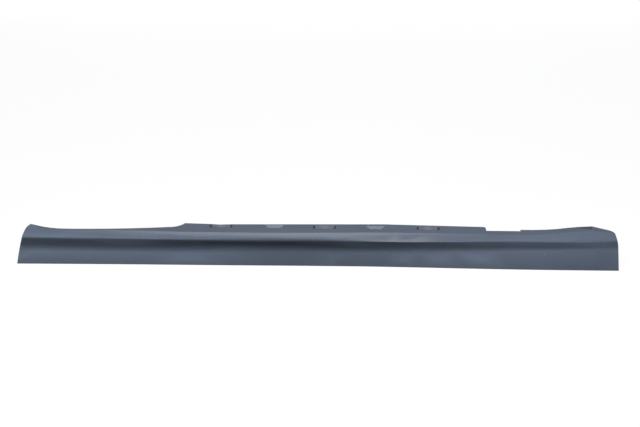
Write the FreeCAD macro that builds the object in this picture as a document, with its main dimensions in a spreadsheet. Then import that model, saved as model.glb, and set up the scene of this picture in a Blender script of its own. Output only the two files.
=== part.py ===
import FreeCAD, Part
import math
import os

import Sketcher

# A car side skirt, the moulded panel that covers the sill between the wheel arches.
# X runs along the car with the front end at +X, the outer face looks to -Y, and Z is up.
# The origin is at the middle of the panel's length and depth, on the surface it stands on.
# Heights are from that surface. Insets are measured inwards from the line between the two foot corners.

SIZES = {
    # the whole panel
    "length": (2050, "rear corner to front corner"),
    "depth": (84, "foot corner to the back edge of the top flange"),
    "wall": (3, "moulded wall"),
    "top_level": (124, "height of the top flange"),
    "stock_top": (160, "height of the uncut form"),
    "margin": (20, "how far a cut runs past the form"),
    # where the sections stand
    "tail_station": (45, "tail section, from the rear"),
    "land_station": (150, "end of the tail's change of form, from the rear"),
    "sill_station": (520, "sill section, from the rear"),
    "waist_station": (1080, "waist section, from the rear"),
    "flare_station": (470, "flare section, from the front"),
    "ear_station": (290, "ear section, from the front"),
    "nose_station": (95, "nose section, from the front"),
    # end section: the groove has almost run out
    "lean_end": (13, "lean of the lower face, degrees"),
    "groove_start_end": (44, "height where the groove starts"),
    "groove_radius_end": (75, "hollow of the groove"),
    "undercut_end": (8, "overhang of the face above the groove, degrees"),
    "bead_radius_end": (16, "round of the bead over that face"),
    "shoulder_radius_end": (72, "round of the shoulder"),
    "shoulder_lean_end": (24, "lean at the top of the shoulder, degrees"),
    "shoulder_inset_end": (13, "inset at the top of the shoulder, from the foot"),
    "foot_inset_end": (0, "inset of the foot"),
    # tail section
    "lean_tail": (14, "lean of the lower face, degrees"),
    "groove_start_tail": (44.5, "height where the groove starts"),
    "groove_radius_tail": (68, "hollow of the groove"),
    "undercut_tail": (13, "overhang of the face above the groove, degrees"),
    "bead_radius_tail": (16, "round of the bead over that face"),
    "shoulder_radius_tail": (71, "round of the shoulder"),
    "shoulder_lean_tail": (26, "lean at the top of the shoulder, degrees"),
    "shoulder_inset_tail": (12, "inset at the top of the shoulder, from the foot"),
    "foot_inset_tail": (0.5, "inset of the foot"),
    # sill section: rear end of the stretch under the doors
    "lean_sill": (14, "lean of the lower face, degrees"),
    "groove_start_sill": (43, "height where the groove starts"),
    "groove_radius_sill": (56, "hollow of the groove"),
    "undercut_sill": (18, "overhang of the face above the groove, degrees"),
    "bead_radius_sill": (13, "round of the bead over that face"),
    "shoulder_radius_sill": (78, "round of the shoulder"),
    "shoulder_lean_sill": (42, "lean at the top of the shoulder, degrees"),
    "shoulder_inset_sill": (12, "inset at the top of the shoulder, from the foot"),
    "foot_inset_sill": (4.5, "inset of the foot"),
    # waist section: front end of that stretch, where the foot is set in most
    "lean_waist": (14, "lean of the lower face, degrees"),
    "groove_start_waist": (47.5, "height where the groove starts"),
    "groove_radius_waist": (42, "hollow of the groove"),
    "undercut_waist": (21, "overhang of the face above the groove, degrees"),
    "bead_radius_waist": (10, "round of the bead over that face"),
    "shoulder_radius_waist": (105, "round of the shoulder"),
    "shoulder_lean_waist": (47, "lean at the top of the shoulder, degrees"),
    "shoulder_inset_waist": (12.5, "inset at the top of the shoulder, from the foot"),
    "foot_inset_waist": (8.3, "inset of the foot"),
    # flare section: the groove starts to close
    "lean_flare": (14, "lean of the lower face, degrees"),
    "groove_start_flare": (60, "height where the groove starts"),
    "groove_radius_flare": (44, "hollow of the groove"),
    "undercut_flare": (10, "overhang of the face above the groove, degrees"),
    "bead_radius_flare": (10, "round of the bead over that face"),
    "shoulder_radius_flare": (260, "round of the shoulder"),
    "shoulder_lean_flare": (32, "lean at the top of the shoulder, degrees"),
    "shoulder_inset_flare": (21.5, "inset at the top of the shoulder, from the foot"),
    "foot_inset_flare": (2, "inset of the foot"),
    # ear section: under the front of the flange
    "lean_ear": (14, "lean of the lower face, degrees"),
    "groove_start_ear": (66, "height where the groove starts"),
    "groove_radius_ear": (40, "hollow of the groove"),
    "undercut_ear": (7.5, "overhang of the face above the groove, degrees"),
    "bead_radius_ear": (16, "round of the bead over that face"),
    "shoulder_radius_ear": (220, "round of the shoulder"),
    "shoulder_lean_ear": (25, "lean at the top of the shoulder, degrees"),
    "shoulder_inset_ear": (21.5, "inset at the top of the shoulder, from the foot"),
    "foot_inset_ear": (0, "inset of the foot"),
    # nose section: nearly one leaning face
    "lean_nose": (13, "lean of the lower face, degrees"),
    "groove_start_nose": (71, "height where the groove starts"),
    "groove_radius_nose": (44, "hollow of the groove"),
    "undercut_nose": (2.5, "overhang of the face above the groove, degrees"),
    "bead_radius_nose": (12, "round of the bead over that face"),
    "shoulder_radius_nose": (110, "round of the shoulder"),
    "shoulder_lean_nose": (22, "lean at the top of the shoulder, degrees"),
    "shoulder_inset_nose": (22, "inset at the top of the shoulder, from the foot"),
    "foot_inset_nose": (0, "inset of the foot"),
    # front end section
    "lean_front": (12, "lean of the lower face, degrees"),
    "groove_start_front": (78, "height where the groove starts"),
    "groove_radius_front": (60, "hollow of the groove"),
    "undercut_front": (-4, "overhang of the face above the groove, degrees"),
    "bead_radius_front": (20, "round of the bead over that face"),
    "shoulder_radius_front": (90, "round of the shoulder"),
    "shoulder_lean_front": (22, "lean at the top of the shoulder, degrees"),
    "shoulder_inset_front": (22, "inset at the top of the shoulder, from the foot"),
    "foot_inset_front": (0, "inset of the foot"),
    "land_share": (0.3, "how far the sill section is reached at the end of the tail's change of form"),
    "shoulder_drop": (4, "top of the shoulder under the top flange"),
    # side outline, rear
    "tail_edge_run": (30, "how far the rear edge leans forward at its shoulder"),
    "tail_edge_height": (108, "height of that shoulder"),
    "tail_edge_radius": (580, "round of the rear edge"),
    "fin_radius": (65, "round up to the peak"),
    "peak_start": (56, "start of the peak from the rear"),
    "peak_length": (8, "length of the rounded peak"),
    "peak_height": (141.5, "height of the peak"),
    "peak_radius": (10, "round of the peak"),
    "fin_back_end": (150, "end of the curve behind the peak, from the rear"),
    "fin_back_height": (129, "height there"),
    "fin_back_radius": (330, "hollow of that curve"),
    "slope_end": (560, "where the top gets level, from the rear"),
    # side outline, front
    "rise_start": (335, "where the top starts to rise, from the front"),
    "rise_end": (96, "end of that rise, from the front"),
    "ear_level": (138, "height of the ear"),
    "corner_start": (43, "start of the front top corner, from the front"),
    "corner_set_back": (19, "front edge at the foot of that corner, from the front"),
    "corner_low": (119.5, "height there"),
    "front_edge_radius": (140, "round of the front edge under that corner"),
    "front_edge_run": (8.5, "how far the straight front edge leans back"),
    "front_edge_height": (80, "height where it ends"),
    # top flange in plan, insets from the foot corners
    "fin_land_inset": (29, "back of the land at the fin"),
    "fin_land_end": (74, "end of that stretch from the rear"),
    "neck_start": (165, "narrowest part of the land, from the rear"),
    "neck_inset": (24, "back of the land there"),
    "neck_radius": (3000, "hollow of the land's back edge"),
    "step_start": (526, "start of the step to the full flange, from the rear"),
    "step_start_inset": (50, "back of the land there"),
    "step_end": (574, "corner of the full flange, from the rear"),
    "step_end_inset": (77, "back of the flange there"),
    "step_radius": (60, "hollow of the step"),
    "dip_station": (690, "shallow dip behind the corner, from the rear"),
    "dip_inset": (72, "back of the flange there"),
    "widest_station": (1255, "widest part of the flange, from the rear"),
    "notch_front": (336, "front side of the notch, from the front"),
    "notch_length": (116, "length of the notch"),
    "notch_corner_inset": (74, "back of the flange behind the notch"),
    "notch_corner_round": (8, "round of the corner there"),
    "notch_root_inset": (49, "root of the notch"),
    "ear_inset": (58, "back of the flange in front of the notch"),
    "ear_neck": (215, "narrower place in the ear, from the front"),
    "ear_neck_inset": (54, "back of the flange there"),
    "ear_tip": (96, "tip of the ear from the front"),
    "ear_tip_inset": (63, "back of the flange at that tip"),
    "ear_cut_end": (36, "end of the slanted cut from the front"),
    "ear_cut_inset": (34.5, "inset at that end"),
    "plan_cut_depth": (18, "how far the plan cut reaches under the top flange"),
    # recess in the ear
    "recess_rear": (168, "rear point of the recess, from the front"),
    "recess_front": (100, "front side of the recess, from the front"),
    "recess_near_inset": (45, "its side towards the outer face"),
    "recess_far_inset": (56, "its side towards the back"),
    "recess_level": (131, "height of its floor"),
    # bottom flange and end flanges
    "foot_flange_inset": (52, "back edge of the bottom flange"),
    "foot_cut_height": (12, "how far the cut behind it reaches up"),
    "arch_flange_inset": (37, "back edge of the two end flanges"),
    "rear_arch_run": (64, "length that the rear end flange takes up"),
    "front_arch_run": (40, "length that the front end flange takes up"),
    # clip seats in the top flange
    "dish_first": (699, "first round dish from the rear"),
    "dish_pitch": (352, "from dish to dish"),
    "dish_count": (3, "number of round dishes"),
    "dish_length": (90, "length of a round dish"),
    "dish_width": (24, "width of a round dish"),
    "dish_end_radius": (14, "round of its two ends"),
    "dish_depth": (9, "depth of a round dish"),
    "dish_taper": (40, "slope of its sides, degrees"),
    "seat_inset": (61, "middle of all the seats"),
    "seat_first": (880, "first straight seat from the rear"),
    "seat_pitch": (344, "from straight seat to straight seat"),
    "seat_count": (2, "number of straight seats"),
    "seat_length": (64, "length of a straight seat at its back"),
    "seat_front_length": (48, "length of a straight seat at its front"),
    "seat_width": (24, "width of a straight seat"),
    "seat_depth": (8, "depth of a straight seat"),
    "seat_taper": (45, "slope of its sides, degrees"),
    "slot_length": (14, "slot in a round dish"),
    "slot_width": (6, "width of that slot"),
    "seat_hole": (6.5, "hole in a straight seat"),
    # screw holes
    "foot_hole": (7, "hole in the bottom flange"),
    "foot_hole_inset": (36, "its middle"),
    "foot_hole_reach": (750, "outer holes from the middle of the length"),
    "foot_hole_pitch": (500, "from hole to hole"),
    "foot_hole_count": (4, "holes in the bottom flange"),
    "arch_hole": (6.5, "hole in an end flange"),
    "arch_hole_inset": (27, "its middle"),
    "arch_hole_low": (28, "height of the lower one"),
    "arch_hole_pitch": (40, "from hole to hole"),
    "arch_hole_count": (2, "holes in an end flange"),
    # edges
    "foot_round": (1.5, "round along the outer edge of the foot"),
}

PROFILE_WORDS = ("lean", "groove_start", "groove_radius", "undercut", "bead_radius",
                 "shoulder_radius", "shoulder_lean", "shoulder_inset", "foot_inset")


class Size:
    """A number together with the sheet formula that gives it."""

    def __init__(self, value, text):
        self.value = value
        self.text = text

    def __add__(self, other):
        other = as_size(other)
        return Size(self.value + other.value, f"({self.text} + {other.text})")

    def __sub__(self, other):
        other = as_size(other)
        return Size(self.value - other.value, f"({self.text} - {other.text})")

    def __mul__(self, other):
        other = as_size(other)
        return Size(self.value * other.value, f"({self.text} * {other.text})")

    def __truediv__(self, other):
        other = as_size(other)
        return Size(self.value / other.value, f"({self.text} / {other.text})")

    def __neg__(self):
        return Size(-self.value, f"(0 - {self.text})")


def as_size(number):
    return number if isinstance(number, Size) else Size(number, str(number))


def of_angle(function, angle):
    """The sine, cosine or tangent of a size in degrees."""
    number = getattr(math, function)(math.radians(angle.value))
    return Size(number, f"{function}({angle.text} * 1 deg)")


def make_sheet(doc):
    """The driving sizes, one row each: name, value, meaning."""
    sheet = doc.addObject("Spreadsheet::Sheet", "sizes")
    for row, (name, (value, meaning)) in enumerate(SIZES.items(), start=1):
        sheet.set(f"A{row}", name)
        sheet.set(f"B{row}", str(value))
        sheet.set(f"C{row}", meaning)
        sheet.setAlias(f"B{row}", name)
    doc.recompute()
    return sheet


doc = FreeCAD.newDocument("side_skirt")
sheet = make_sheet(doc)
ZERO = as_size(0)
RIGHT_ANGLE = 90


def size(name):
    return Size(float(sheet.get(name)), f"sizes.{name}")


def from_rear(distance):
    return distance - size("length") / 2


def from_front(distance):
    return size("length") / 2 - distance


def inset(distance):
    return distance - size("depth") / 2


def origin_item(body, role):
    return next(item for item in body.Origin.OriginFeatures if item.Role == role)


def new_sketch(body, name, plane, offset=None):
    """A sketch on one of the body's own planes, moved along that plane's normal."""
    sketch = body.newObject("Sketcher::SketchObject", name)
    sketch.AttachmentSupport = (origin_item(body, plane), [""])
    sketch.MapMode = "FlatFace"
    if offset is not None:
        sketch.AttachmentOffset = FreeCAD.Placement(
            FreeCAD.Vector(0, 0, offset.value), FreeCAD.Rotation())
        sketch.setExpression("AttachmentOffset.Base.z", offset.text)
    return sketch


def fix(sketch, kind, places, amount):
    """One dimension of a sketch, bound to its sheet formula."""
    number = math.radians(amount.value) if kind == "Angle" else amount.value
    index = sketch.addConstraint(Sketcher.Constraint(kind, *places, number))
    text = f"{amount.text} * 1 deg" if kind == "Angle" else amount.text
    sketch.setExpression(f"Constraints[{index}]", text)


def pin(sketch, edge, end, x, y):
    fix(sketch, "DistanceX", (-1, 1, edge, end), x)
    fix(sketch, "DistanceY", (-1, 1, edge, end), y)


def flat(x, y):
    return FreeCAD.Vector(x, y, 0)


def point(x, y):
    return flat(x.value, y.value)


def line(start, end):
    return Part.LineSegment(start, end)


def arc(centre, radius, first, last):
    """An arc round its centre, anticlockwise from the point first to the point last."""
    circle = Part.Circle(centre, FreeCAD.Vector(0, 0, 1), radius)
    angles = [math.atan2(p.y - centre.y, p.x - centre.x) for p in (first, last)]
    if angles[1] < angles[0]:
        angles[1] += 2 * math.pi
    return Part.ArcOfCircle(circle, *angles)


def trace(sketch, corners, half_turns=()):
    """A closed outline of pinned corners (x, y) or (x, y, radius).

    A radius makes the leg that leaves the corner an arc: positive turns left, negative turns right.
    A leg whose number is in half_turns is a half circle, held by its tangent and not by its radius.
    """
    points = [point(corner[0], corner[1]) for corner in corners]
    legs = []
    for index, corner in enumerate(corners):
        first, last = points[index], points[(index + 1) % len(points)]
        if len(corner) == 2:
            legs.append((sketch.addGeometry(line(first, last)), 1, 2))
            continue
        radius = corner[2].value
        chord = last - first
        across = flat(-chord.y, chord.x).normalize() * math.copysign(1, radius)
        reach = math.sqrt(max(radius ** 2 - (chord.Length / 2) ** 2, 0))
        centre = (first + last) * 0.5 + across * reach
        if radius > 0:
            legs.append((sketch.addGeometry(arc(centre, radius, first, last)), 1, 2))
        else:
            legs.append((sketch.addGeometry(arc(centre, -radius, last, first)), 2, 1))
    for index, corner in enumerate(corners):
        edge, start, end = legs[index]
        next_edge, next_start, _ = legs[(index + 1) % len(legs)]
        half_turn = (index + 1) % len(legs) in half_turns
        joint = "Tangent" if half_turn else "Coincident"
        sketch.addConstraint(Sketcher.Constraint(joint, edge, end, next_edge, next_start))
        pin(sketch, edge, start, corner[0], corner[1])
        if len(corner) == 3 and index not in half_turns:
            fix(sketch, "Radius", (edge,), corner[2] if corner[2].value > 0 else -corner[2])


def between(first, last, share):
    """A profile part of the way from one named profile to another."""
    profile = {}
    for word in PROFILE_WORDS:
        start, end = size(f"{word}_{first}"), size(f"{word}_{last}")
        profile[word] = start + (end - start) * share
    return profile


def bead_middle(spot, way, centre, reach):
    """The far point on the line from spot along way that lies at the distance reach from the centre."""
    start = spot - centre
    along = start.dot(way)
    return spot + way * (math.sqrt(along ** 2 - start.dot(start) + reach ** 2) - along)


def section(body, name, station, profile, skin):
    """The closed section at one station: foot, lower face, groove, bead, shoulder, top, back.

    Its outer side lies inside the panel's outer face by the thickness skin, measured square to the face.
    """
    foot_inset = inset(profile["foot_inset"])
    lean, undercut, slope = profile["lean"], profile["undercut"], profile["shoulder_lean"]
    low, high = -size("margin"), size("stock_top")
    back = size("depth") / 2 + size("margin")

    foot_y = foot_inset + skin / of_angle("cos", lean) + low * of_angle("tan", lean)
    start_z = profile["groove_start"] - skin * of_angle("sin", lean)
    start_y = foot_y + (start_z - low) * of_angle("tan", lean)
    crown_z = size("top_level") - size("shoulder_drop") - skin * of_angle("sin", slope)
    crown_y = foot_inset + profile["shoulder_inset"] + skin * of_angle("cos", slope)
    corner_y = crown_y + (high - crown_z) * of_angle("tan", slope)
    groove_radius = profile["groove_radius"] + skin
    bead_radius = profile["bead_radius"] - skin
    shoulder_radius = profile["shoulder_radius"] - skin

    foot, groove_start = point(foot_y, low), point(start_y, start_z)
    crown, corner = point(crown_y, crown_z), point(corner_y, high)
    back_top, back_foot = point(back, high), point(back, low)
    groove_centre = groove_start + outward(lean) * groove_radius.value
    groove_end = groove_centre - outward(-undercut) * groove_radius.value
    shoulder_centre = crown - outward(slope) * shoulder_radius.value
    bead_centre = bead_middle(groove_end - outward(-undercut) * bead_radius.value, upward(-undercut),
                              shoulder_centre, shoulder_radius.value - bead_radius.value)
    bead_start = bead_centre + outward(-undercut) * bead_radius.value
    bead_end = bead_centre + (bead_centre - shoulder_centre).normalize() * bead_radius.value

    sketch = new_sketch(body, name, "YZ_Plane", from_rear(station))
    lower_face, groove, overhang, bead, shoulder, slant, top_line, back_line, foot_line = sketch.addGeometry([
        line(foot, groove_start),
        arc(groove_centre, groove_radius.value, groove_start, groove_end),
        line(groove_end, bead_start),
        arc(bead_centre, bead_radius.value, bead_end, bead_start),
        arc(shoulder_centre, shoulder_radius.value, crown, bead_end),
        line(crown, corner),
        line(corner, back_top),
        line(back_top, back_foot),
        line(back_foot, foot),
    ])
    sketch.addConstraint([
        Sketcher.Constraint("Tangent", lower_face, 2, groove, 1),
        Sketcher.Constraint("Tangent", groove, 2, overhang, 1),
        Sketcher.Constraint("Tangent", overhang, 2, bead, 2),
        Sketcher.Constraint("Tangent", bead, 1, shoulder, 2),
        Sketcher.Constraint("Tangent", shoulder, 1, slant, 1),
        Sketcher.Constraint("Coincident", slant, 2, top_line, 1),
        Sketcher.Constraint("Coincident", top_line, 2, back_line, 1),
        Sketcher.Constraint("Coincident", back_line, 2, foot_line, 1),
        Sketcher.Constraint("Coincident", foot_line, 2, lower_face, 1),
        Sketcher.Constraint("Horizontal", top_line),
        Sketcher.Constraint("Vertical", back_line),
        Sketcher.Constraint("Horizontal", foot_line),
    ])
    pin(sketch, lower_face, 1, foot_y, low)
    fix(sketch, "DistanceY", (-1, 1, lower_face, 2), start_z)
    fix(sketch, "Angle", (lower_face,), as_size(RIGHT_ANGLE) - lean)
    fix(sketch, "Radius", (groove,), groove_radius)
    fix(sketch, "Angle", (overhang,), as_size(RIGHT_ANGLE) + undercut)
    fix(sketch, "Radius", (bead,), bead_radius)
    fix(sketch, "Radius", (shoulder,), shoulder_radius)
    pin(sketch, slant, 1, crown_y, crown_z)
    fix(sketch, "Angle", (slant,), as_size(RIGHT_ANGLE) - slope)
    pin(sketch, back_line, 1, back, high)
    return sketch


def outward(lean):
    """The outward direction of a face that leans in by this angle."""
    return flat(-of_angle("cos", lean).value, of_angle("sin", lean).value)


def upward(lean):
    """The way up along a face that leans in by this angle."""
    return flat(of_angle("sin", lean).value, of_angle("cos", lean).value)


def lofted_form(body, skin):
    """The form behind the outer face, from section to section, longer than the panel at both ends."""
    length = size("length")
    stations = [
        ("rear_end", -size("margin"), between("end", "tail", 0)),
        ("tail", size("tail_station"), between("tail", "sill", 0)),
        ("land", size("land_station"), between("tail", "sill", size("land_share"))),
        ("sill", size("sill_station"), between("sill", "waist", 0)),
        ("waist", size("waist_station"), between("waist", "flare", 0)),
        ("flare", length - size("flare_station"), between("flare", "ear", 0)),
        ("ear", length - size("ear_station"), between("ear", "nose", 0)),
        ("nose", length - size("nose_station"), between("nose", "front", 0)),
        ("front_end", length + size("margin"), between("nose", "front", 1)),
    ]
    sections = [section(body, f"{body.Name}_{name}", station, profile, skin)
                for name, station, profile in stations]
    loft = body.newObject("PartDesign::AdditiveLoft", f"{body.Name}_form")
    loft.Profile = sections[0]
    loft.Sections = sections[1:]
    body.Tip = loft
    doc.recompute()


def cut(body, name, sketch, depth=None, downwards=False, taper=None):
    """A pocket that has to take material away: to a depth, or both ways through everything."""
    before = body.Shape.Volume
    pocket = body.newObject("PartDesign::Pocket", name)
    pocket.Profile = sketch
    if depth is None:
        pocket.Type = "ThroughAll"
        pocket.SideType = "Symmetric"
    else:
        pocket.Type = "Length"
        pocket.Length = depth.value
        pocket.setExpression("Length", depth.text)
        pocket.Reversed = not downwards
    if taper is not None:
        pocket.TaperAngle = taper.value
        pocket.setExpression("TaperAngle", taper.text)
    body.Tip = pocket
    doc.recompute()
    if not body.Shape.Volume < before:
        raise RuntimeError(f"{name} takes nothing away: {pocket.getStatusString()}")
    return pocket


def side_trim(body, skin):
    """Cut the form to its outline seen from the side: rear edge, fin, level top, ear, front edge."""
    low, far = -size("margin") * 2, -size("margin") * 2
    high = size("stock_top") + size("margin")
    rise_run = size("rise_start") - size("rise_end")
    rise = size("ear_level") - size("top_level")
    rise_radius = (rise_run * rise_run + rise * rise) / (rise * 4)
    corner_run = size("corner_start") - size("corner_set_back")
    corner_drop = size("ear_level") - size("corner_low")
    corner_radius = (corner_run * corner_run + corner_drop * corner_drop) / (corner_drop * 2)
    middle = (size("rise_start") + size("rise_end")) / 2
    half_way = (size("ear_level") + size("top_level")) / 2
    peak_end = size("peak_start") + size("peak_length")
    sketch = new_sketch(body, f"{body.Name}_side_outline", "XZ_Plane")

    def rear(distance, height, *radius):
        return (from_rear(distance + skin), height - skin, *radius)

    def front(distance, height, *radius):
        return (from_front(distance + skin), height - skin, *radius)

    trace(sketch, [
        (from_rear(skin), skin, -size("tail_edge_radius")),
        rear(size("tail_edge_run"), size("tail_edge_height"), -size("fin_radius")),
        rear(size("peak_start"), size("peak_height"), -size("peak_radius")),
        rear(peak_end, size("peak_height"), size("fin_back_radius")),
        rear(size("fin_back_end"), size("fin_back_height")),
        rear(size("slope_end"), size("top_level")),
        front(size("rise_start"), size("top_level"), rise_radius),
        front(middle, half_way, -rise_radius),
        front(size("rise_end"), size("ear_level")),
        front(size("corner_start"), size("ear_level"), -corner_radius),
        front(size("corner_set_back"), size("corner_low"), -size("front_edge_radius")),
        front(size("front_edge_run"), size("front_edge_height")),
        (from_front(skin), skin),
    ])
    trace(sketch, [
        (from_rear(far), low),
        (from_front(far), low),
        (from_front(far), high),
        (from_rear(far), high),
    ])
    cut(body, f"{body.Name}_side_trim", sketch)


def repeat(body, feature, name, pitch, count):
    """Copies of a feature along the panel."""
    pattern = body.newObject("PartDesign::LinearPattern", name)
    pattern.Originals = [feature]
    pattern.Direction = (origin_item(body, "X_Axis"), [""])
    pattern.Mode = "Spacing"
    pattern.Offset = pitch.value
    pattern.setExpression("Offset", pitch.text)
    pattern.Occurrences = int(count.value)
    pattern.setExpression("Occurrences", count.text)
    body.Tip = pattern
    doc.recompute()
    return pattern


def round_dishes(body, skin):
    """Round-ended dishes pressed into the top flange, each the seat of a clip."""
    half_width = size("dish_width") / 2 + skin
    half_run = (size("dish_length") - size("dish_width")) / 2
    end_radius = size("dish_end_radius") + skin
    middle, seat = size("dish_first"), inset(size("seat_inset"))
    sketch = new_sketch(body, f"{body.Name}_dish", "XY_Plane", size("top_level") - skin)
    trace(sketch, [
        (from_rear(middle - half_run), seat - half_width),
        (from_rear(middle + half_run), seat - half_width, end_radius),
        (from_rear(middle + half_run), seat + half_width),
        (from_rear(middle - half_run), seat + half_width, end_radius),
    ])
    dish = cut(body, f"{body.Name}_dish_pocket", sketch, size("dish_depth"), downwards=True,
               taper=-size("dish_taper"))
    repeat(body, dish, f"{body.Name}_dishes", size("dish_pitch"), size("dish_count"))


def straight_seats(body, skin):
    """Straight-sided seats between the dishes, narrower towards the outer face."""
    half_width = size("seat_width") / 2 + skin
    half_back, half_front = size("seat_length") / 2 + skin, size("seat_front_length") / 2 + skin
    middle, seat = size("seat_first"), inset(size("seat_inset"))
    sketch = new_sketch(body, f"{body.Name}_seat", "XY_Plane", size("top_level") - skin)
    trace(sketch, [
        (from_rear(middle - half_front), seat - half_width),
        (from_rear(middle + half_front), seat - half_width),
        (from_rear(middle + half_back), seat + half_width),
        (from_rear(middle - half_back), seat + half_width),
    ])
    pocket = cut(body, f"{body.Name}_seat_pocket", sketch, size("seat_depth"), downwards=True,
                 taper=-size("seat_taper"))
    repeat(body, pocket, f"{body.Name}_seats", size("seat_pitch"), size("seat_count"))


def ear_recess(body, skin):
    """A three-cornered recess in the ear, with a level floor that gets deeper towards the front."""
    near, far = size("recess_near_inset"), size("recess_far_inset")
    spread = (size("recess_rear") - size("recess_front")) / (far - near)
    near, far, front = near - skin, far + skin, size("recess_front") - skin
    rear = front + (far - near) * spread
    level = size("ear_level") + size("margin")
    sketch = new_sketch(body, f"{body.Name}_recess_outline", "XY_Plane", level)
    trace(sketch, [
        (from_front(rear), inset(far)),
        (from_front(front), inset(near)),
        (from_front(front), inset(far)),
    ])
    cut(body, f"{body.Name}_recess", sketch, level - size("recess_level") + skin, downwards=True)


def moulded_form(body, skin):
    lofted_form(body, skin)
    side_trim(body, skin)
    round_dishes(body, skin)
    straight_seats(body, skin)
    ear_recess(body, skin)


def slab_behind(body, name, first, last):
    """A sketch of the strip between two insets, over the whole length."""
    past = -size("margin") * 2
    sketch = new_sketch(body, name, "XY_Plane")
    trace(sketch, [
        (from_rear(past), first),
        (from_front(past), first),
        (from_front(past), last),
        (from_rear(past), last),
    ])
    return sketch


def back_trim(body):
    """Cut the form to its depth with a flat back."""
    back = size("depth") / 2
    cut(body, "back_trim", slab_behind(body, "back_outline", back, back + size("margin") * 2))


def hollow_out(body, hollow):
    """Take the inner form away, which leaves the wall."""
    boolean = body.newObject("PartDesign::Boolean", "hollowed")
    boolean.setObjects([hollow])
    boolean.Type = "Cut"
    body.Tip = boolean
    doc.recompute()


def plan_trim(body):
    """Cut the top flange to its outline seen from above: narrow land, full flange, notch, ear."""
    past = size("margin") * 2
    behind = size("depth") / 2 + past
    notch_rear, corner = size("notch_front") + size("notch_length"), size("notch_corner_round")
    level = size("top_level") - size("plan_cut_depth")
    sketch = new_sketch(body, "plan_outline", "XY_Plane", level)
    trace(sketch, [
        (from_rear(-past), inset(size("fin_land_inset"))),
        (from_rear(size("fin_land_end")), inset(size("fin_land_inset"))),
        (from_rear(size("neck_start")), inset(size("neck_inset")), size("neck_radius")),
        (from_rear(size("step_start")), inset(size("step_start_inset")), size("step_radius")),
        (from_rear(size("step_end")), inset(size("step_end_inset"))),
        (from_rear(size("dip_station")), inset(size("dip_inset"))),
        (from_rear(size("widest_station")), inset(size("depth"))),
        (from_front(notch_rear + corner), inset(size("notch_corner_inset")), -corner),
        (from_front(notch_rear), inset(size("notch_corner_inset") - corner)),
        (from_front(notch_rear), inset(size("notch_root_inset"))),
        (from_front(size("notch_front")), inset(size("notch_root_inset"))),
        (from_front(size("notch_front")), inset(size("ear_inset"))),
        (from_front(size("ear_neck")), inset(size("ear_neck_inset"))),
        (from_front(size("ear_tip")), inset(size("ear_tip_inset"))),
        (from_front(size("ear_cut_end")), inset(size("ear_cut_inset"))),
        (from_front(-past), inset(size("ear_cut_inset"))),
        (from_front(-past), behind),
        (from_rear(-past), behind),
    ])
    cut(body, "plan_trim", sketch, size("stock_top") + past - level)


def arch_trim(body):
    """Cut the two end walls back to narrow flanges, below the top flange."""
    past = size("margin") * 2
    first, last = inset(size("arch_flange_inset")), size("depth") / 2 + past
    sketch = new_sketch(body, "arch_outline", "XY_Plane", -past)
    trace(sketch, [
        (from_rear(-past), first),
        (from_rear(size("rear_arch_run")), first),
        (from_rear(size("rear_arch_run")), last),
        (from_rear(-past), last),
    ])
    trace(sketch, [
        (from_front(size("front_arch_run")), first),
        (from_front(-past), first),
        (from_front(-past), last),
        (from_front(size("front_arch_run")), last),
    ])
    cut(body, "arch_trim", sketch, size("top_level") - size("plan_cut_depth") + past)


def foot_trim(body):
    """Cut the bottom flange to its width."""
    first, last = inset(size("foot_flange_inset")), size("depth") / 2 + size("margin") * 2
    cut(body, "foot_trim", slab_behind(body, "foot_outline", first, last), size("foot_cut_height"))


def circle(sketch, x, y, diameter):
    edge = sketch.addGeometry(Part.Circle(point(x, y), FreeCAD.Vector(0, 0, 1), diameter.value / 2))
    pin(sketch, edge, 3, x, y)
    fix(sketch, "Diameter", (edge,), diameter)


def foot_holes(body):
    """Screw holes in the bottom flange."""
    sketch = new_sketch(body, "foot_hole", "XY_Plane")
    circle(sketch, -size("foot_hole_reach"), inset(size("foot_hole_inset")), size("foot_hole"))
    hole = cut(body, "foot_hole_pocket", sketch, size("foot_cut_height"))
    repeat(body, hole, "foot_holes", size("foot_hole_pitch"), size("foot_hole_count"))


def seat_holes(body):
    """A screw hole in each straight seat."""
    sketch = new_sketch(body, "seat_hole", "XY_Plane", size("top_level"))
    circle(sketch, from_rear(size("seat_first")), inset(size("seat_inset")), size("seat_hole"))
    hole = cut(body, "seat_hole_pocket", sketch, size("seat_depth") + size("wall") * 2, downwards=True)
    repeat(body, hole, "seat_holes", size("seat_pitch"), size("seat_count"))


def dish_slots(body):
    """A clip slot in each round dish."""
    half_width = size("slot_width") / 2
    half_run = (size("slot_length") - size("slot_width")) / 2
    middle, seat = size("dish_first"), inset(size("seat_inset"))
    sketch = new_sketch(body, "dish_slot", "XY_Plane", size("top_level"))
    trace(sketch, [
        (from_rear(middle - half_run), seat - half_width),
        (from_rear(middle + half_run), seat - half_width, half_width),
        (from_rear(middle + half_run), seat + half_width),
        (from_rear(middle - half_run), seat + half_width, half_width),
    ], half_turns=(1, 3))
    slot = cut(body, "dish_slot_pocket", sketch, size("dish_depth") + size("wall") * 2, downwards=True)
    repeat(body, slot, "dish_slots", size("dish_pitch"), size("dish_count"))


def arch_holes(body, name, station, depth, downwards):
    """Screw holes in an end flange, one above the other."""
    sketch = new_sketch(body, f"{name}_hole", "YZ_Plane", station)
    for number in range(int(size("arch_hole_count").value)):
        height = size("arch_hole_low") + size("arch_hole_pitch") * number
        circle(sketch, inset(size("arch_hole_inset")), height, size("arch_hole"))
    cut(body, f"{name}_holes", sketch, depth, downwards=downwards)


def face_normal(face, spot):
    u, v = face.Surface.parameter(spot)
    return face.normalAt(u, v)


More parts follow.
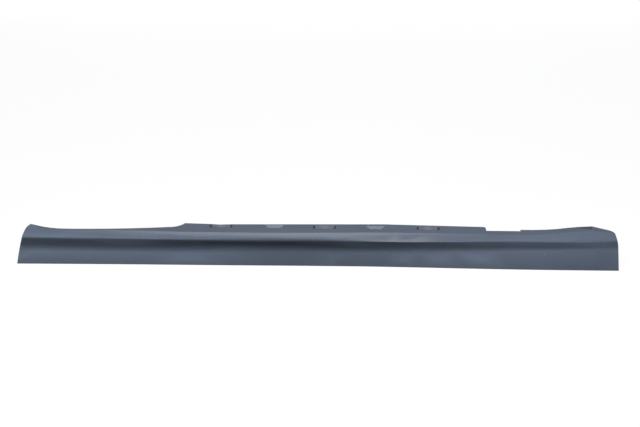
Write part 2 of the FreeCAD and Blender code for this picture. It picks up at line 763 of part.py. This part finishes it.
def edges_where(body, test):
    """Names of the edges whose two faces' outward normals, at the middle of the edge, pass a test."""
    names = []
    shape = body.Shape
    for number, edge in enumerate(shape.Edges, start=1):
        spot = edge.valueAt((edge.FirstParameter + edge.LastParameter) / 2)
        faces = shape.ancestorsOfType(edge, Part.Face)
        normals = [face_normal(face, spot) for face in faces]
        if len(normals) == 2 and (test(spot, *normals) or test(spot, *reversed(normals))):
            names.append(f"Edge{number}")
    return names


def round_edges(body, name, edges, radius):
    base = body.Tip
    fillet = body.newObject("PartDesign::Fillet", name)
    fillet.Base = (base, edges)
    fillet.Radius = radius.value
    fillet.setExpression("Radius", radius.text)
    body.Tip = fillet
    doc.recompute()


def round_foot(body):
    """A small round where the outer face turns into the bottom flange."""
    low, downwards, outwards, endwards = size("wall").value, -0.9, -0.3, 0.3

    def foot(spot, first, second):
        faces_down = spot.z < low and first.z < downwards
        return faces_down and second.y < outwards and abs(second.x) < endwards
    round_edges(body, "foot_round", edges_where(body, foot), size("foot_round"))


panel = doc.addObject("PartDesign::Body", "skirt_panel")
panel.Label = "skirt_panel"
inner = doc.addObject("PartDesign::Body", "inner_form")
for body, skin in ((panel, ZERO), (inner, size("wall"))):
    moulded_form(body, skin)
back_trim(panel)
hollow_out(panel, inner)
plan_trim(panel)
arch_trim(panel)
foot_trim(panel)
foot_holes(panel)
seat_holes(panel)
dish_slots(panel)
arch_holes(panel, "rear_arch", from_rear(-size("margin")), size("margin") + size("rear_arch_run"), False)
arch_holes(panel, "front_arch", from_front(-size("margin")), size("margin") + size("front_arch_run"), True)
round_foot(panel)


def write_parts(bodies):
    """Check every object of the document, then write each sub-part to its file."""
    failed = [item.Name for item in doc.Objects if "Invalid" in item.State or "Error" in item.State]
    if failed:
        raise RuntimeError(f"failed objects: {failed}")
    os.makedirs("parts", exist_ok=True)
    for body in bodies:
        shape = body.Shape
        if shape.isNull() or not shape.isValid() or len(shape.Solids) != 1:
            raise RuntimeError(f"{body.Label} is not one valid solid")
        shape.exportStep(f"parts/{body.Label}.step")
        print(body.Label, round(shape.Volume), "cubic mm", len(shape.Faces), "faces")


write_parts([panel])
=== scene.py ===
import math

import bmesh
import bpy
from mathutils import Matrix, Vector


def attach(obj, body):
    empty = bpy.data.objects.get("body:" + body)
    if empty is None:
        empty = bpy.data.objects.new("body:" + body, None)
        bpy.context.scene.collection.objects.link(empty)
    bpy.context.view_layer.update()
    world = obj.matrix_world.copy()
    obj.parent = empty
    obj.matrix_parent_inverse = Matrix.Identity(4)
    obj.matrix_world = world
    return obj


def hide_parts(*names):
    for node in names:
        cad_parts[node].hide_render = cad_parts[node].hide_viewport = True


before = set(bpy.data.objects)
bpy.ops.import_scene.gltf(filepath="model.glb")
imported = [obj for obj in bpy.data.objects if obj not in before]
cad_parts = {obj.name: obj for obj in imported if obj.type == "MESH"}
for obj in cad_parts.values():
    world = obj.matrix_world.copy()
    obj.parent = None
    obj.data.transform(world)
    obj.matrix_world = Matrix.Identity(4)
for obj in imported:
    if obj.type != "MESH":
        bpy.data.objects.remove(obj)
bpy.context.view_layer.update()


# The camera stands about 3.8 m in front of the skirt's middle and looks down on it, so that the styled
# face, the top flange and both ends show. It stands a little towards the blunt front end.

IMAGE_WIDTH = 640
IMAGE_HEIGHT = 427
FOCAL_PIXELS = 1118
SENSOR_WIDTH = 36.0
SIGHT_LIMIT = 60

elevation = math.radians(32.0)
azimuth = math.radians(1.469)
distance = 3.816
middle = Vector((0, 0, 0.06))
middle_pixel = (316.14, 245.95)

camera_data = bpy.data.cameras.new("camera")
camera = bpy.data.objects.new("camera", camera_data)
bpy.context.collection.objects.link(camera)
camera_data.sensor_width = SENSOR_WIDTH
camera_data.lens = SENSOR_WIDTH * FOCAL_PIXELS / IMAGE_WIDTH
camera_data.clip_end = SIGHT_LIMIT
camera.location = middle + distance * Vector((
    math.sin(azimuth) * math.cos(elevation),
    -math.cos(azimuth) * math.cos(elevation),
    math.sin(elevation),
))
down = elevation - math.atan((middle_pixel[1] - IMAGE_HEIGHT / 2) / FOCAL_PIXELS)
turn = azimuth - math.atan((IMAGE_WIDTH / 2 - middle_pixel[0]) / FOCAL_PIXELS)
camera.rotation_euler = (math.pi / 2 - down, 0, turn)
bpy.context.scene.camera = camera


# The skirt is one injection moulding of polypropylene with a 3 mm wall, sprayed with a dark slate-blue
# primer that dries to a satin sheen. Its groove, crest and clip seats are moulded in, and it is held
# to the car by screws and clips in its flanges.

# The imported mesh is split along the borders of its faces. Only corners at the same place are merged,
# because a wider merge would collapse thin slivers.
MERGE_DISTANCE = 0.0000002
SHARP_ANGLE = math.radians(24)

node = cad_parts["skirt_panel"]
skin_mesh = node.data.copy()
skin_mesh.name = "skirt_skin"
welder = bmesh.new()
welder.from_mesh(skin_mesh)
welder.transform(node.matrix_world)
bmesh.ops.remove_doubles(welder, verts=welder.verts, dist=MERGE_DISTANCE)
bmesh.ops.recalc_face_normals(welder, faces=welder.faces)
for face in welder.faces:
    face.smooth = True
for edge in welder.edges:
    edge.smooth = edge.is_manifold and edge.calc_face_angle(0) < SHARP_ANGLE
welder.to_mesh(skin_mesh)
welder.free()
skin_mesh.materials.clear()
skirt = bpy.data.objects.new("skirt_skin", skin_mesh)
bpy.context.collection.objects.link(skirt)


def linear(hex_colour):
    """The linear colour of an sRGB hex value such as 5A6270."""
    values = []
    for place in (0, 2, 4):
        level = int(hex_colour[place:place + 2], 16) / 255
        values.append(level / 12.92 if level <= 0.04045 else ((level + 0.055) / 1.055) ** 2.4)
    return (*values, 1.0)


def empty_tree(owner):
    """The node tree of a new material or world, without its first nodes."""
    owner.use_nodes = True
    owner.node_tree.nodes.clear()
    return owner.node_tree


def add_node(tree, kind, settings=None, values=None, links=None):
    """Add one node to a tree, with its settings, socket values and incoming links."""
    item = tree.nodes.new(kind)
    for name, value in (settings or {}).items():
        setattr(item, name, value)
    for socket, value in (values or {}).items():
        item.inputs[socket].default_value = value
    for socket, source in (links or {}).items():
        tree.links.new(source, item.inputs[socket])
    return item


def maths(tree, operation, first, second):
    """One step of arithmetic between a socket and a number."""
    item = add_node(tree, "ShaderNodeMath", {"operation": operation}, {1: second}, {0: first})
    return item.outputs["Value"]


def product(tree, first, second):
    """The product of two sockets."""
    item = add_node(tree, "ShaderNodeMath", {"operation": "MULTIPLY"}, None, {0: first, 1: second})
    return item.outputs["Value"]


# Satin primer on moulded polypropylene: a dark slate blue with a soft, wide highlight. The eye sees a
# very fine spray grain, slow changes of shade and sheen along the length, a fine dust on what faces up,
# painted shade in the round dishes, darkest towards their ends, and one pale nib low on the outer face.
CLOUD_SIZE = 0.11
GRAIN_SIZE, GRAIN_HEIGHT, GRAIN_STRENGTH = 0.0011, 0.0001, 0.12
SHEEN_SPAN = (0.40, 0.52)
EDGE_ROUND = 0.0008

# The round dishes: the middle of the first one, their pitch and half length along X, their span in Z,
# how far from a dish's middle the painted shade starts and stops getting darker, and how dark it gets.
DISH_FIRST, DISH_PITCH, DISH_HALF = -0.326, 0.352, 0.05
DISH_LOW, DISH_HIGH = 0.111, 0.1237
DISH_SHADE_REACH = (0.003, 0.021)
DISH_SHADE_SHARE = (0.25, 0.75)

# Dust lies where a face's normal points up by more than this share, and covers this much at most.
DUST_FACING, DUST_SHARE = 0.8, 0.09
NIB_SPOT, NIB_RADIUS = (0.772, -0.0283, 0.055), 0.0021

primer = bpy.data.materials.new("satin_primer")
tree = empty_tree(primer)
place = add_node(tree, "ShaderNodeNewGeometry")
spot = add_node(tree, "ShaderNodeSeparateXYZ", links={"Vector": place.outputs["Position"]})
normal = add_node(tree, "ShaderNodeSeparateXYZ", links={"Vector": place.outputs["Normal"]})
cloud = add_node(tree, "ShaderNodeTexNoise", values={"Scale": 1 / CLOUD_SIZE, "Detail": 3.0},
                 links={"Vector": place.outputs["Position"]})
shade = add_node(tree, "ShaderNodeMix", {"data_type": "RGBA"},
                 {"A": linear("555E6D"), "B": linear("5C6575")}, {"Factor": cloud.outputs["Fac"]})

dish_reach = add_node(tree, "ShaderNodeMath", {"operation": "PINGPONG"}, {1: DISH_PITCH / 2},
                      {0: maths(tree, "SUBTRACT", spot.outputs["X"], DISH_FIRST)}).outputs["Value"]
dish_end = add_node(tree, "ShaderNodeMapRange", {"interpolation_type": "SMOOTHSTEP"},
                    {"From Min": DISH_SHADE_REACH[0], "From Max": DISH_SHADE_REACH[1],
                     "To Min": DISH_SHADE_SHARE[0], "To Max": DISH_SHADE_SHARE[1]}, {"Value": dish_reach})
in_length = maths(tree, "LESS_THAN", dish_reach, DISH_HALF)
in_height = product(tree, maths(tree, "GREATER_THAN", spot.outputs["Z"], DISH_LOW),
                    maths(tree, "LESS_THAN", spot.outputs["Z"], DISH_HIGH))
behind_crest = maths(tree, "GREATER_THAN", spot.outputs["Y"], 0.0)
in_dish = product(tree, product(tree, in_length, in_height), behind_crest)
# Painted shade: inside the round dishes the colour is mixed towards a darker slate, lightly in the middle
# and most at the ends.
dish_painted_shade = add_node(tree, "ShaderNodeMix", {"data_type": "RGBA"}, {"B": linear("363C48")},
                {"Factor": product(tree, dish_end.outputs["Result"], in_dish),
                 "A": shade.outputs["Result"]})

upward = add_node(tree, "ShaderNodeMapRange",
                  values={"From Min": DUST_FACING, "From Max": 1.0, "To Min": 0.0, "To Max": DUST_SHARE},
                  links={"Value": normal.outputs["Z"]})
dust = add_node(tree, "ShaderNodeMix", {"data_type": "RGBA"}, {"B": linear("8C8880")},
                {"Factor": product(tree, upward.outputs["Result"], cloud.outputs["Fac"]),
                 "A": dish_painted_shade.outputs["Result"]})
nib_reach = add_node(tree, "ShaderNodeVectorMath", {"operation": "DISTANCE"}, {1: NIB_SPOT},
                     {0: place.outputs["Position"]}).outputs["Value"]
nib = add_node(tree, "ShaderNodeMix", {"data_type": "RGBA"}, {"B": linear("788090")},
               {"Factor": maths(tree, "LESS_THAN", nib_reach, NIB_RADIUS), "A": dust.outputs["Result"]})

grain = add_node(tree, "ShaderNodeTexNoise", values={"Scale": 1 / GRAIN_SIZE, "Detail": 2.0},
                 links={"Vector": place.outputs["Position"]})
sheen = add_node(tree, "ShaderNodeMapRange", values={"To Min": SHEEN_SPAN[0], "To Max": SHEEN_SPAN[1]},
                 links={"Value": cloud.outputs["Fac"]})
rounded = add_node(tree, "ShaderNodeBevel", {"samples": 4}, {"Radius": EDGE_ROUND})
relief = add_node(tree, "ShaderNodeBump", values={"Strength": GRAIN_STRENGTH, "Distance": GRAIN_HEIGHT},
                  links={"Height": grain.outputs["Fac"], "Normal": rounded.outputs["Normal"]})
coat = add_node(tree, "ShaderNodeBsdfPrincipled", values={"IOR": 1.5},
                links={"Base Color": nib.outputs["Result"], "Roughness": sheen.outputs["Result"],
                       "Normal": relief.outputs["Normal"]})
add_node(tree, "ShaderNodeOutputMaterial", links={"Surface": coat.outputs["BSDF"]})
skin_mesh.materials.append(primer)

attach(skirt, "root")
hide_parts("skirt_panel")


# The floor is the white sweep of a small studio. It looks white to the eye and keeps the skirt's
# shadow, and throws little light back up at the skirt.

FLOOR_REACH = 12.0
PAPER_GLOW = 0.93

floor_mesh = bpy.data.meshes.new("floor")
corners = [(x * FLOOR_REACH, y * FLOOR_REACH, 0) for x, y in ((-1, -1), (1, -1), (1, 1), (-1, 1))]
floor_mesh.from_pydata(corners, [], [(0, 1, 2, 3)])
floor = bpy.data.objects.new("floor", floor_mesh)
bpy.context.collection.objects.link(floor)

# White paper: an even matt white without a grain that shows at this distance.
paper = bpy.data.materials.new("white_paper_sweep")
tree = empty_tree(paper)
ray = add_node(tree, "ShaderNodeLightPath")
diffuse = add_node(tree, "ShaderNodeBsdfDiffuse", values={"Color": linear("505050")})
glow = add_node(tree, "ShaderNodeEmission", values={"Color": (1, 1, 1, 1), "Strength": PAPER_GLOW})
lit = add_node(tree, "ShaderNodeAddShader",
               links={0: diffuse.outputs["BSDF"], 1: glow.outputs["Emission"]})
seen = add_node(tree, "ShaderNodeMixShader",
                links={"Fac": ray.outputs["Is Camera Ray"], 1: diffuse.outputs["BSDF"],
                       2: lit.outputs["Shader"]})
add_node(tree, "ShaderNodeOutputMaterial", links={"Surface": seen.outputs["Shader"]})
floor_mesh.materials.append(paper)


# The studio light is one large soft panel above and in front of the skirt, with a dim room round it.
# Two low sky-blue boards stand almost upright on the floor in front, to the left and the right, and
# count only where the satin coat mirrors them. A weak low panel behind shows the inner side.

PANEL_SIZE, PANEL_POWER, PANEL_SPOT = (4.0, 1.6), 128, Vector((0, -1.36, 2.73))
BACK_SIZE, BACK_POWER, BACK_SPOT = (4.0, 0.3), 40, Vector((0, 3.0, 0.2))
BOARD_NEAR, BOARD_FAR, BOARD_RISE, BOARD_FOOT = 0.9, 0.94, 0.22, 0.004
ROOM_STRENGTH = 0.08


def area_light(name, size, power, spot, shining):
    """A rectangular light at a spot that shines in a direction."""
    data = bpy.data.lights.new(name, "AREA")
    data.shape = "RECTANGLE"
    data.size, data.size_y = size
    data.energy = power
    light = bpy.data.objects.new(name, data)
    bpy.context.collection.objects.link(light)
    light.location = spot
    light.rotation_euler = shining.to_track_quat("-Z", "Y").to_euler()
    return light


area_light("soft_panel", PANEL_SIZE, PANEL_POWER, PANEL_SPOT, middle - PANEL_SPOT)

board_height = math.hypot(BOARD_FAR - BOARD_NEAR, BOARD_RISE)
for side, first, last, radiance, tint in (
    ("left", -1.6, -0.46, 9.5, "CDE6FF"),
    ("right", 0.24, 1.3, 7.5, "D2E6FF"),
):
    board = area_light(
        side + "_board", (last - first, board_height), radiance * math.pi * (last - first) * board_height,
        Vector(((first + last) / 2, -(BOARD_NEAR + BOARD_FAR) / 2, BOARD_RISE / 2 + BOARD_FOOT)),
        Vector((0, BOARD_RISE, BOARD_FAR - BOARD_NEAR)))
    board.data.color = linear(tint)[:3]
    board.visible_diffuse = False
    board.visible_camera = False

back = area_light("back_panel", BACK_SIZE, BACK_POWER, BACK_SPOT, middle - BACK_SPOT)
back.visible_camera = False

room = bpy.data.worlds.new("dim_room")
bpy.context.scene.world = room
tree = empty_tree(room)
ray = add_node(tree, "ShaderNodeLightPath")
dim = add_node(tree, "ShaderNodeBackground", values={"Color": linear("B8D8FF"), "Strength": ROOM_STRENGTH})
white = add_node(tree, "ShaderNodeBackground", values={"Color": (1, 1, 1, 1), "Strength": 1.0})
seen = add_node(tree, "ShaderNodeMixShader",
                links={"Fac": ray.outputs["Is Camera Ray"], 1: dim.outputs["Background"],
                       2: white.outputs["Background"]})
add_node(tree, "ShaderNodeOutputWorld", links={"Surface": seen.outputs["Shader"]})

bpy.context.scene.view_settings.view_transform = "Standard"
